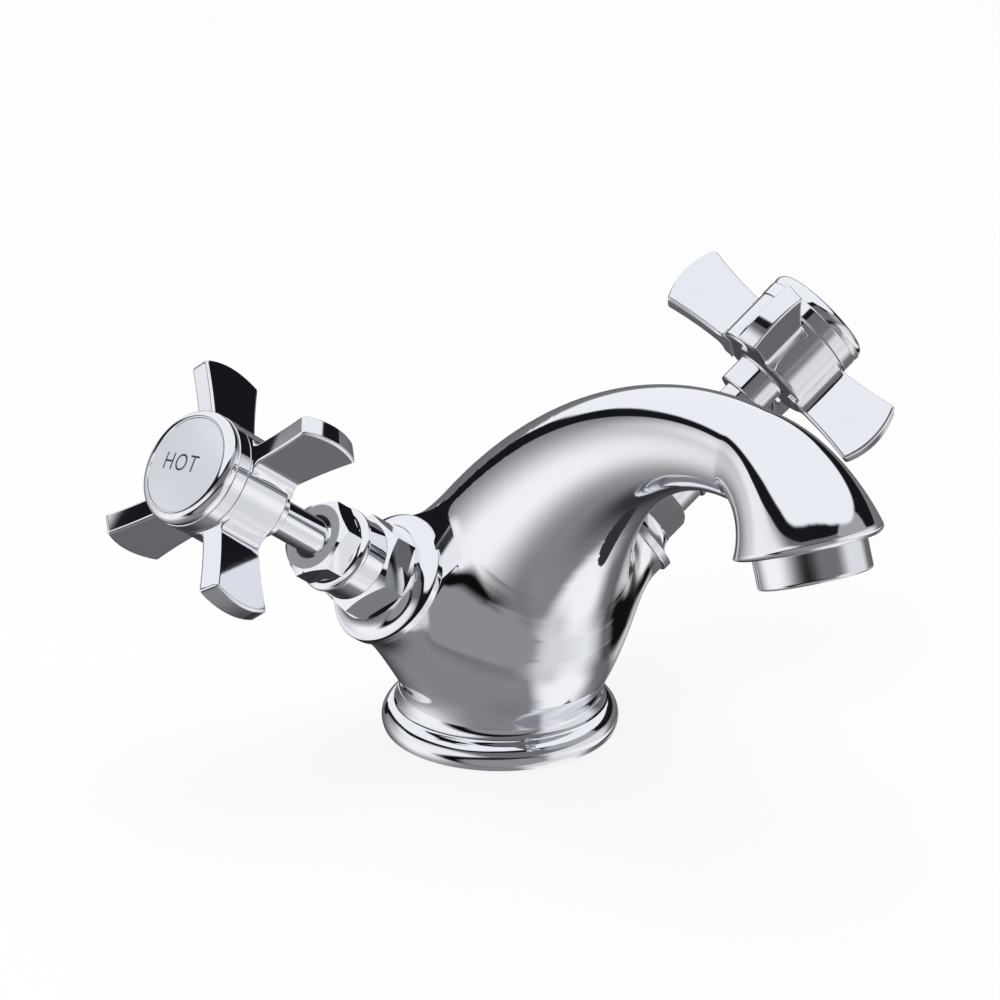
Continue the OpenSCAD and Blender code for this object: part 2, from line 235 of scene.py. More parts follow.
@dataclass(frozen=True)
class Finish:
    """A surface finish: what the material is, how it was made, and its fine variation."""

    name: str
    colour: str
    shade: str
    metallic: float
    rough_low: float
    rough_high: float
    grain_mm: float
    bump_um: float = 0.0
    coat: float = 0.0
    coat_rough: float = 0.08

    def material(self) -> bpy.types.Material:
        """Builds the node material once and returns it after that.

        Returns:
            The Blender material of this finish.
        """
        known = bpy.data.materials.get(self.name)
        if known is not None:
            return known
        made = bpy.data.materials.new(self.name)
        made.use_nodes = True
        tree = made.node_tree
        shader = tree.nodes["Principled BSDF"]
        shader.inputs["Metallic"].default_value = self.metallic
        shader.inputs["Coat Weight"].default_value = self.coat
        shader.inputs["Coat Roughness"].default_value = self.coat_rough
        place = add_node(tree, "ShaderNodeTexCoord")
        scaled = add_node(
            tree,
            "ShaderNodeMapping",
            values={"Scale": (MM_PER_METRE / self.grain_mm,) * 3},
            links={"Vector": place.outputs["Object"]},
        )
        grain = add_node(
            tree,
            "ShaderNodeTexNoise",
            values={"Scale": 1.0, "Detail": 4.0, "Roughness": 0.55},
            links={"Vector": scaled.outputs["Vector"]},
        ).outputs["Fac"]
        tint = laid_over(tree, grain, self.colour, self.shade)
        tree.links.new(tint, shader.inputs["Base Color"])
        rough = add_node(
            tree,
            "ShaderNodeMapRange",
            values={"To Min": self.rough_low, "To Max": self.rough_high},
            links={"Value": grain},
        )
        tree.links.new(rough.outputs["Result"], shader.inputs["Roughness"])
        if self.bump_um > 0:
            relief = add_node(
                tree,
                "ShaderNodeBump",
                values={"Strength": 1.0, "Distance": self.bump_um * MICRON},
                links={"Height": grain},
            )
            tree.links.new(relief.outputs["Normal"], shader.inputs["Normal"])
        return made


# Bright chrome plate over polished brass: a clean mirror with the faintest haze.
CHROME = Finish("chrome_plate", "#f1f2f5", "#eceef2", 1.0, 0.028, 0.05, 14.0)
# The same plate on the handles, buffed a little softer on their flat blades.
HANDLE_CHROME = Finish("chrome_plate_buffed", "#f0f1f4", "#e9ebef", 1.0, 0.035, 0.065, 9.0)
# Chrome over a face left as turned: the fine lathe marks under the plate spread its mirror.
TURNED_END = Finish("chrome_over_turned_face", "#dcdde0", "#cfd1d5", 1.0, 0.3, 0.4, 0.7, 3.0)
# Painted shade in the bore around the spindle: a near-black colour stands in for the shadow deep in
# the hole, where hardly any light gets in.
BORE_PAINTED_SHADE = Finish("greased_bore", "#15140f", "#1d1b15", 0.0, 0.45, 0.6, 1.0, 2.0)
# Lapped alumina discs: dense, even and nearly white.
ALUMINA = Finish("lapped_alumina", "#efeee8", "#e4e2da", 0.0, 0.22, 0.3, 0.8, 1.0)
# Moulded nitrile rubber: black with a dull bloom.
NITRILE = Finish("nitrile_rubber", "#17171a", "#222226", 0.0, 0.55, 0.75, 0.6, 6.0)
# Pressed fibre washer: dark red with a short felted grain.
FIBRE = Finish("pressed_fibre", "#5c2b22", "#48211b", 0.0, 0.7, 0.85, 0.35, 12.0)
# Moulded acetal of the aerator insert and thrust washers.
ACETAL = Finish("moulded_acetal", "#e9e9e6", "#dcdcd8", 0.0, 0.38, 0.5, 1.2, 3.0)
# Plain stainless screws.
STAINLESS = Finish("plain_stainless", "#b9babd", "#a3a4a8", 1.0, 0.25, 0.38, 0.5, 3.0)
# Satin lacquer over a silvered index plate: pale grey, soft and even.
SATIN_INDEX = Finish("satin_index_plate", "#eceef3", "#e4e6ec", 0.35, 0.3, 0.38, 5.0, 1.0, 0.25)
# Printed ink of the index words.
INK = Finish("printed_ink", "#232427", "#2c2d30", 0.0, 0.5, 0.6, 0.4)


# Shape helpers; all lengths are in millimetres until a piece is finished


def smooth_step(share: float | np.ndarray) -> float | np.ndarray:
    """Eases a number or an array from 0 to 1 in and out."""
    return share * share * (3 - 2 * share)


def arc(
    start_deg: float, end_deg: float, steps: int, place: Callable[[float], tuple[float, float]]
) -> list[Vector]:
    """Samples a curve of a profile by angle.

    Args:
        start_deg: first angle.
        end_deg: last angle.
        steps: number of steps between them.
        place: gives radius and height at an angle in radians.

    Returns:
        Points of the profile in the XZ plane.
    """
    angles = [math.radians(start_deg + (end_deg - start_deg) * k / steps) for k in range(steps + 1)]
    return [Vector((r, 0.0, z)) for r, z in map(place, angles)]


def rounded(corners: Sequence[tuple[float, float, float]], closed: bool = False) -> list[Vector]:
    """Turns profile corners into short arcs with a support point on each side.

    Args:
        corners: radius, height and rounding of each corner, in order.
        closed: True if the profile is a loop.

    Returns:
        Points of the profile in the XZ plane.
    """
    points: list[Vector] = []
    count = len(corners)
    steps, most_of_half, rest_of_half = 6, 0.48, 0.49
    for i, (r, z, bend) in enumerate(corners):
        here = Vector((r, 0.0, z))
        if bend <= 0 or (not closed and i in (0, count - 1)):
            points.append(here)
            continue
        back = Vector((corners[i - 1][0], 0.0, corners[i - 1][1])) - here
        ahead = Vector((corners[(i + 1) % count][0], 0.0, corners[(i + 1) % count][1])) - here
        reach = min(bend, back.length * most_of_half, ahead.length * most_of_half)
        start, end = here + back.normalized() * reach, here + ahead.normalized() * reach
        far = min(reach + SUPPORT_MM, back.length * rest_of_half)
        points.append(here + back.normalized() * far)
        for k in range(steps + 1):
            t = k / steps
            points.append(start * (1 - t) ** 2 + here * 2 * t * (1 - t) + end * t * t)
        far = min(reach + SUPPORT_MM, ahead.length * rest_of_half)
        points.append(here + ahead.normalized() * far)
    return points


def turn_profile(points: Sequence[Vector], closed: bool = False, steps: int = SPIN_STEPS) -> Mesh:
    """Spins a profile into a closed turned shape about the local z axis.

    Args:
        points: profile in the XZ plane.
        closed: True if the profile is a loop that stays off the axis.
        steps: number of segments round the axis.

    Returns:
        A new bmesh.
    """
    bm = bmesh.new()
    line = [bm.verts.new(p) for p in points]
    for a, b in zip(line, line[1:]):
        bm.edges.new((a, b))
    if closed:
        bm.edges.new((line[-1], line[0]))
    bmesh.ops.spin(
        bm,
        geom=bm.verts[:] + bm.edges[:],
        cent=(0, 0, 0),
        axis=(0, 0, 1),
        angle=FULL_TURN,
        steps=steps,
        use_merge=True,
    )
    bmesh.ops.remove_doubles(bm, verts=bm.verts[:], dist=1e-5)
    bmesh.ops.dissolve_degenerate(bm, edges=bm.edges[:], dist=1e-6)
    bmesh.ops.recalc_face_normals(bm, faces=bm.faces[:])
    return bm


def hex_bar(across: float, low: float, high: float) -> Mesh:
    """Makes a hexagon bar.

    Args:
        across: distance across the flats.
        low: height of its lower end.
        high: height of its upper end.

    Returns:
        A new bmesh.
    """
    bm = bmesh.new()
    tip = across / 2 / math.cos(math.pi / 6)
    bmesh.ops.create_circle(bm, cap_ends=True, segments=6, radius=tip)
    bmesh.ops.rotate(bm, verts=bm.verts[:], matrix=Matrix.Rotation(math.pi / 2, 3, "Z"))
    bmesh.ops.translate(bm, verts=bm.verts[:], vec=(0, 0, low))
    made = bmesh.ops.extrude_face_region(bm, geom=bm.faces[:], use_keep_orig=True)
    top = [g for g in made["geom"] if isinstance(g, Vert)]
    bmesh.ops.translate(bm, verts=top, vec=(0, 0, high - low))
    bmesh.ops.recalc_face_normals(bm, faces=bm.faces[:])
    return bm


def soften(bm: Mesh, edges: Iterable[Edge], size: float, segments: int) -> None:
    """Rounds the given edges.

    Args:
        bm: mesh that holds them.
        edges: edges to round.
        size: width of the rounding.
        segments: number of faces across it.
    """
    bmesh.ops.bevel(
        bm,
        geom=list(edges),
        offset=size,
        segments=segments,
        profile=0.5,
        affect="EDGES",
        material=-1,
        clamp_overlap=True,
    )


def sharp_edges(bm: Mesh, degrees: float) -> list[Edge]:
    """Finds the edges that bend more than an angle.

    Args:
        bm: mesh to look at.
        degrees: smallest bend that counts.

    Returns:
        The edges.
    """
    limit = math.radians(degrees)
    return [e for e in bm.edges if len(e.link_faces) == 2 and e.calc_face_angle(0.0) > limit]


def merge_in(target: Mesh, *others: Mesh) -> Mesh:
    """Adds other meshes to a mesh and frees them.

    Args:
        target: mesh that receives them.
        others: meshes to add.

    Returns:
        The target.
    """
    for other in others:
        shell = bpy.data.meshes.new("shell")
        other.to_mesh(shell)
        other.free()
        target.from_mesh(shell)
        bpy.data.meshes.remove(shell)
    return target


def as_object(name: str, bm: Mesh) -> bpy.types.Object:
    """Puts a bmesh into a new object of the scene.

    Args:
        name: name of the object.
        bm: mesh, which is freed.

    Returns:
        The object.
    """
    mesh = bpy.data.meshes.new(name)
    bm.to_mesh(mesh)
    bm.free()
    obj = bpy.data.objects.new(name, mesh)
    bpy.context.scene.collection.objects.link(obj)
    return obj


def evaluated(obj: bpy.types.Object) -> Mesh:
    """Reads the shape of an object as its modifiers or its text leave it.

    Args:
        obj: object in the scene.

    Returns:
        A new bmesh.
    """
    bpy.context.view_layer.update()
    shape = bpy.data.meshes.new_from_object(
        obj.evaluated_get(bpy.context.evaluated_depsgraph_get())
    )
    bm = bmesh.new()
    bm.from_mesh(shape)
    bpy.data.meshes.remove(shape)
    return bm


def combined(first: Mesh, second: Mesh, operation: str) -> Mesh:
    """Combines two closed meshes with the Boolean modifier.

    Args:
        first: mesh that is kept.
        second: mesh that cuts it or bounds it.
        operation: INTERSECT or DIFFERENCE.

    Returns:
        The resulting mesh.
    """
    kept, tool = as_object("kept", first), as_object("tool", second)
    step = kept.modifiers.new("combine", "BOOLEAN")
    step.operation, step.object, step.solver = operation, tool, "EXACT"
    bm = evaluated(kept)
    for obj in (kept, tool):
        mesh = obj.data
        bpy.data.objects.remove(obj)
        bpy.data.meshes.remove(mesh)
    return bm


@dataclass
class Piece:
    """A finished piece: its mesh, finish, body, slot and the CAD nodes it stands for."""

    name: str
    finish: Finish
    body: BodyName
    slot: str
    stands_for: tuple[str, ...] = ()
    flats: bool = False
    # False on valve parts and handles: the casting in the photo mirrors the studio alone.
    mirrored: bool = True
    other_faces: tuple[tuple[Finish, Callable[[Face], bool]], ...] = ()

    def finish_from(
        self, bm: Mesh, place: Matrix | None = None, sharp_deg: float = SHARP_DEG
    ) -> bpy.types.Object:
        """Makes the object from a mesh in millimetres.

        Args:
            bm: mesh, which is freed.
            place: local frame to row frame, in millimetres.
            sharp_deg: bend above which an edge is drawn crisp.

        Returns:
            The object, riding on its body.
        """
        for face in bm.faces:
            face.material_index = 0
            for index, (_, belongs) in enumerate(self.other_faces, 1):
                if belongs(face):
                    face.material_index = index
        matrix = Matrix.Scale(MM, 4) @ (place or Matrix.Identity(4))
        bmesh.ops.transform(bm, matrix=matrix, verts=bm.verts[:])
        if matrix.determinant() < 0:
            bmesh.ops.reverse_faces(bm, faces=bm.faces[:])
        for face in bm.faces:
            face.smooth = True
        for edge in sharp_edges(bm, sharp_deg):
            edge.smooth = False
        obj = as_object(self.name, bm)
        obj.data.materials.append(self.finish.material())
        for finish, _ in self.other_faces:
            obj.data.materials.append(finish.material())
        if self.flats:
            even = obj.modifiers.new("even_flats", "WEIGHTED_NORMAL")
            even.keep_sharp = True
            even.weight = 80
        obj.visible_glossy = self.mirrored
        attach(obj, self.body.value)
        if self.stands_for:
            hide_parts(*self.stands_for)
        LOG.info("%s: %d faces", self.name, len(obj.data.polygons))
        return obj


# The casting


@dataclass
class Spine:
    """Centre curve of belly, neck and outlet: forward reach and height, with a radius."""

    foot_top: float = 9.2
    crown_z: float = 94.6
    crown_f: float = 92.5
    waist_r: float = 22.2
    neck_r: float = 9.8
    rim_r: float = 15.2
    outlet_tilt: float = 22.5
    bend_r: float = 20.0
    taper_size: float = 26.0
    taper_power: float = 1.95
    waist_end_t: float = 0.3
    flare_power: float = 1.45

    def controls(self) -> list[np.ndarray]:
        """Places the control points of the cubic part.

        Returns:
            Four points, each forward reach and height.
        """
        return [
            np.array([0.0, self.foot_top - 2.2]),
            np.array([1.0, 49.0]),
            np.array([self.crown_f - 47, self.crown_z - 1]),
            np.array([self.crown_f, self.crown_z]),
        ]

    def point(self, t: float) -> np.ndarray:
        """Finds a point of the cubic part.

        Args:
            t: fraction of the cubic part.

        Returns:
            Forward reach and height.
        """
        a, b, c, d = self.controls()
        s = 1 - t
        return s**3 * a + 3 * t * s * s * b + 3 * t * t * s * c + t**3 * d

    def heading(self, t: float) -> float:
        """Works out which way the curve runs.

        Args:
            t: fraction of the cubic part.

        Returns:
            Its angle from straight up, in radians.
        """
        a, b, c, d = self.controls()
        s = 1 - t
        slope = 3 * s * s * (b - a) + 6 * t * s * (c - b) + 3 * t * t * (d - c)
        return math.atan2(slope[0], slope[1])

    def radius(self, t: float) -> float:
        """Works out how thick the casting is: a vase that tapers into the neck.

        Args:
            t: fraction of the cubic part.

        Returns:
            Its radius.
        """
        taper = self.neck_r + self.taper_size * (1 - t) ** self.taper_power
        above_waist = min(1.0, max(0.0, t / self.waist_end_t))
        return self.waist_r + (taper - self.waist_r) * smooth_step(above_waist)

    def bend_point(self, v: float) -> tuple[np.ndarray, float]:
        """Finds a place on the outlet bend.

        Args:
            v: fraction of the bend.

        Returns:
            The point and its heading in radians.
        """
        start = self.heading(1.0)
        head = start + v * (math.pi - math.radians(self.outlet_tilt) - start)
        crown = self.controls()[3]
        step = np.array([math.cos(start) - math.cos(head), math.sin(head) - math.sin(start)])
        return crown + self.bend_r * step, head

    def flare(self, v: float) -> float:
        """Returns the radius of the flared outlet at fraction v of the bend."""
        return self.neck_r + (self.rim_r - self.neck_r) * v**self.flare_power

    def outlet(self) -> Matrix:
        """Places the outlet face.

        Returns:
            Its frame, whose z runs out of the spout.
        """
        point, _ = self.bend_point(1.0)
        turn = Matrix.Rotation(math.pi - math.radians(self.outlet_tilt), 4, "X")
        return Matrix.Translation((0, -point[0], point[1])) @ turn


@dataclass
class ValveAxis:
    """Place of one valve: local z runs outward from the centre plane."""

    side: Side
    height: float = 19.0
    tilt_deg: float = 37.6
    sweep_deg: float = 4.5

    def frame(self) -> Matrix:
        """Places the valve.

        Returns:
            Its right-handed frame, in millimetres.
        """
        turn = Matrix.Rotation(math.radians(self.sweep_deg), 4, "Z")
        lean = Matrix.Rotation(-math.radians(90 - self.tilt_deg), 4, "Y")
        placed = Matrix.Translation((0, 0, self.height)) @ turn @ lean
        if self.side is Side.COLD:
            flip = Matrix.Diagonal((-1, 1, 1, 1))
            placed = flip @ placed @ Matrix.Diagonal((1, -1, 1, 1))
        return placed


@dataclass
class CastBody:
    """The one-piece casting: foot, belly with two valve arms, neck and flared outlet."""

    spine: Spine = field(default_factory=Spine)
    ring_steps: int = 192
    belly_rings: int = 96
    neck_rings: int = 56
    bend_rings: int = 56
    arm_r: float = 13.85
    boss_s: float = 36.47
    arm_start_s: float = 7.0
    arm_end_s: float = 39.0
    arm_flare: float = 0.38
    arm_flare_bend: float = 6.0
    arm_flare_s: tuple[float, float] = (12.0, 34.0)
    arm_flank: float = 0.95
    blend_low: float = 0.6
    blend_high: float = 9.0
    blend_from_z: float = 11.0
    blend_over_z: float = 22.0
    blend_end_t: float = 0.62
    search_r: float = 52.0
    search_step: float = 1.0
    relax_rounds: int = 30
    settle_rounds: int = 3
    settle_limit: float = 2.0
    lip: float = 1.5
    lip_v: float = 0.955
    bead_r: float = 21.6

    def stations(self) -> list[tuple[float, float, float, float]]:
        """Lists the rings of the loft.

        Returns:
            Forward reach, height, heading and radius of each ring.
        """
        rings = []
        count = self.belly_rings + self.neck_rings
        for j in range(count + 1):
            if j <= self.belly_rings:
                t = self.blend_end_t * j / self.belly_rings
            else:
                beyond = (j - self.belly_rings) / self.neck_rings
                t = self.blend_end_t + (1 - self.blend_end_t) * beyond
            f, z = self.spine.point(t)
            rings.append((f, z, self.spine.heading(t), self.spine.radius(t)))
        for j in range(1, self.bend_rings + 1):
            v = self.lip_v * j / self.bend_rings
            (f, z), head = self.spine.bend_point(v)
            rings.append((f, z, head, self.spine.flare(v / self.lip_v)))
        for degrees in range(9, 91, 9):
            a = math.radians(degrees)
            (f, z), head = self.spine.bend_point(self.lip_v + (1 - self.lip_v) * math.sin(a))
            rings.append((f, z, head, self.spine.rim_r - self.lip * (1 - math.cos(a))))
        (f, z), head = self.spine.bend_point(1.0)
        inside = ((11.95, 0.0), (11.75, 0.12), (11.7, 0.4), (11.7, 4.6), (9.4, 4.9), (6.5, 8.2))
        for radius, depth in inside:
            rings.append((f - depth * math.sin(head), z - depth * math.cos(head), head, radius))
        return rings

    def loft(self) -> Mesh:
        """Draws one circle along the rings.

        Returns:
            The loft, with its rings in order of making.
        """
        bm = bmesh.new()
        bmesh.ops.create_circle(bm, cap_ends=True, segments=self.ring_steps, radius=1.0)
        edges = bm.edges[:]
        before = Matrix.Identity(4)
        for i, (f, z, head, radius) in enumerate(self.stations()):
            place = (
                Matrix.Translation((0, -f, z))
                @ Matrix.Rotation(head, 4, "X")
                @ Matrix.Scale(radius, 4)
            )
            if i == 0:
                verts = bm.verts[:]
            else:
                made = bmesh.ops.extrude_edge_only(bm, edges=edges)["geom"]
                verts = [g for g in made if isinstance(g, Vert)]
                edges = [g for g in made if isinstance(g, Edge)]
            bmesh.ops.transform(bm, matrix=place @ before.inverted(), verts=verts)
            before = place
        bmesh.ops.contextual_create(bm, geom=edges)
        bm.verts.index_update()
        return bm

    def centre_line(self) -> tuple[np.ndarray, np.ndarray]:
        """Samples the spine.

        Returns:
            Centres as rows of y and z, and their radii.
        """
        ts = np.linspace(0, 1, 400)
        centres = np.array([self.spine.point(t) for t in ts]) * [-1, 1]
        return centres, np.array([self.spine.radius(t) for t in ts])

    def nearest(self, points: np.ndarray) -> np.ndarray:
        """Finds the sample of the spine that each point belongs to.

        Args:
            points: rows of x, y and z.

        Returns:
            One index a point.
        """
        centres, _ = self.centre_line()
        spread = (points[:, 1:, None] - centres.T[None]) ** 2
        return spread.sum(1).argmin(1)

    def tube_gap(self, points: np.ndarray, near: np.ndarray) -> np.ndarray:
        """Measures the gap from points to the round casting, negative inside it.

        Args:
            points: rows of x, y and z.
            near: sample of the spine each point belongs to.

        Returns:
            One gap a point.
        """
        centres, radii = self.centre_line()
        flat = points[:, 1:]
        best = np.full(len(points), 1e9)
        for shift in (-1, 0):
            a = np.clip(near + shift, 0, len(radii) - 2)
            base, run = centres[a], centres[a + 1] - centres[a]
            k = np.clip(((flat - base) * run).sum(1) / (run * run).sum(1), 0, 1)
            off = ((flat - base - run * k[:, None]) ** 2).sum(1)
            gap = np.sqrt(points[:, 0] ** 2 + off) - (radii[a] + k * (radii[a + 1] - radii[a]))
            best = np.minimum(best, gap)
        return best

    def arm_gap(self, points: np.ndarray, side: Side) -> np.ndarray:
        """Measures the gap from points to one valve arm, negative inside it.

        Args:
            points: rows of x, y and z.
            side: which arm.

        Returns:
            One gap a point.
        """
        frame = np.array(ValveAxis(side).frame())
        rel = points - frame[:3, 3]
        s = rel @ frame[:3, 2]
        rho = np.sqrt(np.maximum((rel**2).sum(1) - s * s, 0))
        full_s, start_s = self.arm_flare_s
        back = start_s - np.clip(s, full_s, start_s)
        bend = self.arm_flare_bend
        flow = self.arm_r + self.arm_flare * (np.sqrt(back * back + bend * bend) - bend)
        wall = (rho - flow) * self.arm_flank
        return np.maximum(wall, np.maximum(s - self.arm_end_s, self.arm_start_s - s))

    def gap(self, points: np.ndarray, near: np.ndarray | None = None) -> np.ndarray:
        """Measures the gap to the casting with its arms blended in.

        Args:
            points: rows of x, y and z.
            near: sample of the spine each point belongs to, if known.

        Returns:
            One gap a point, negative inside.
        """
        whole = self.tube_gap(points, self.nearest(points) if near is None else near)
        rise = np.clip((points[:, 2] - self.blend_from_z) / self.blend_over_z, 0, 1)
        soft = self.blend_low + (self.blend_high - self.blend_low) * smooth_step(rise)
        for side in Side:
            arm = self.arm_gap(points, side)
            overlap = np.maximum(soft - np.abs(whole - arm), 0) / soft
            whole = np.minimum(whole, arm) - overlap**2 * soft / 4
        return whole

    def slope(self, points: np.ndarray, near: np.ndarray) -> np.ndarray:
        """Measures how the gap changes from place to place.

        Args:
            points: rows of x, y and z.
            near: sample of the spine each point belongs to.

        Returns:
            One gradient a point.
        """
        step = 0.04
        parts = [self.gap(points + d, near) - self.gap(points - d, near) for d in np.eye(3) * step]
        return np.stack(parts, 1) / (2 * step)

    def settle(self, points: np.ndarray) -> np.ndarray:
        """Moves points onto the blended surface.

        Args:
            points: rows of x, y and z near the surface.

        Returns:
            The moved points.
        """
        near = self.nearest(points)
        gap, slope = self.gap(points, near), self.slope(points, near)
        least_slope, least_length = 0.2, 1e-9
        size = np.maximum((slope * slope).sum(1), least_slope)
        move = slope * (gap / size)[:, None]
        length = np.maximum(np.sqrt((move * move).sum(1)), least_length)
        return points - move * np.minimum(1, self.settle_limit / length)[:, None]

    def settle_verts(self, verts: Sequence[Vert]) -> None:
        """Moves vertices onto the blended surface.

        Args:
            verts: vertices near the surface, changed in place.
        """
        for v, p in zip(verts, self.settle(np.array([v.co[:] for v in verts]))):
            v.co = p

    def swell(self, bm: Mesh) -> None:
        """Pushes the belly rings out over the arms and evens their spacing.

        Args:
            bm: the loft, changed in place.
        """
        bm.verts.ensure_lookup_table()
        first, last = self.ring_steps, self.ring_steps * self.belly_rings
        verts = [bm.verts[i] for i in range(first, last)]
        points = np.array([v.co[:] for v in verts])
        rings = [(0, -f, z) for f, z, _, _ in self.stations()]
        centres = np.array([rings[i // self.ring_steps] for i in range(first, last)])
        away = points - centres
        own = np.sqrt((away * away).sum(1))
        away /= own[:, None]
        reach = own.copy()
        found = np.zeros(len(points), bool)
        previous = np.full(len(points), 1.0)
        outer = self.search_r
        while outer > self.spine.neck_r:
            trial = self.gap(centres + away * outer)
            hit = ~found & (trial < 0) & (outer > own - self.search_step)
            reach[hit] = outer + trial[hit] / np.maximum(previous[hit] - trial[hit], 1e-6)
            found |= hit
            previous = trial
            outer -= self.search_step
        points = centres + away * np.maximum(reach, own)[:, None]
        for v, p in zip(verts, points):
            v.co = p
        free = verts[self.ring_steps :]
        for _ in range(self.relax_rounds):
            bmesh.ops.smooth_vert(
                bm, verts=free, factor=0.5, use_axis_x=True, use_axis_y=True, use_axis_z=True
            )
            self.settle_verts(free)
        for _ in range(self.settle_rounds):
            self.settle_verts(free)

    def trim_bosses(self, bm: Mesh) -> None:
        """Cuts both arms off flat at the boss face.

        Args:
            bm: the casting, changed in place.
        """
        near_s, near_r = 30, 18
        for side in Side:
            frame = ValveAxis(side).frame()
            origin, axis = frame.translation, frame.to_3x3() @ Vector((0, 0, 1))
            part = []
            for face in bm.faces:
                rel = face.calc_center_median() - origin
                s = rel.dot(axis)
                if s > near_s and (rel - axis * s).length < near_r:
                    part.append(face)
            verts, edges = {v for f in part for v in f.verts}, {e for f in part for e in f.edges}
            bmesh.ops.bisect_plane(
                bm,
                geom=[*verts, *edges, *part],
                dist=1e-4,
                plane_co=origin + axis * self.boss_s,
                plane_no=axis,
                clear_outer=True,
            )
            rim = [e for e in bm.edges if e.is_boundary]
            bmesh.ops.holes_fill(bm, edges=rim)

    def foot(self) -> Mesh:
        """Turns the foot with its bead, hollow sweep, seal groove and fixing holes.

        Returns:
            The foot.
        """
        waist_r, waist_z = self.spine.waist_r, self.spine.foot_top
        outline = ((0, 0), (20.8, 0), (20.8, 2.15), (23.6, 2.15), (23.6, 0), (25.3, 0))
        profile = [Vector((r, 0, z)) for r, z in outline]
        profile += arc(
            -26.4, 60, 28, lambda a: (self.bead_r + 4.4 * math.cos(a), 2 + 4.2 * math.sin(a))
        )
        sweep = arc(
            4, 90, 16, lambda a: (waist_r + 1.6 - 1.45 * math.sin(a), waist_z - 3.5 * math.cos(a))
        )
        profile += sweep[1:] + [Vector((0, 0, waist_z))]
        bm = turn_profile(profile, steps=self.ring_steps)
        holes = ((-8.5, 2.0, 4.5), (8.5, 2.0, 4.5), (0.0, -12.5, 3.4))
        for x, y, r in holes:
            drill = bmesh.new()
            bmesh.ops.create_cone(
                drill, cap_ends=True, segments=48, radius1=r, radius2=r, depth=13.0
            )
            bmesh.ops.translate(drill, verts=drill.verts[:], vec=(x, y, 0))
            bm = combined(bm, drill, "DIFFERENCE")
        return bm

    def build(self) -> None:
        """Makes the casting's piece."""
        bm = self.loft()
        self.swell(bm)
        self.trim_bosses(bm)
        merge_in(bm, self.foot())
        Piece("cast_body", CHROME, BodyName.TAP, "body_chrome", ("body",)).finish_from(bm)


# Valve parts


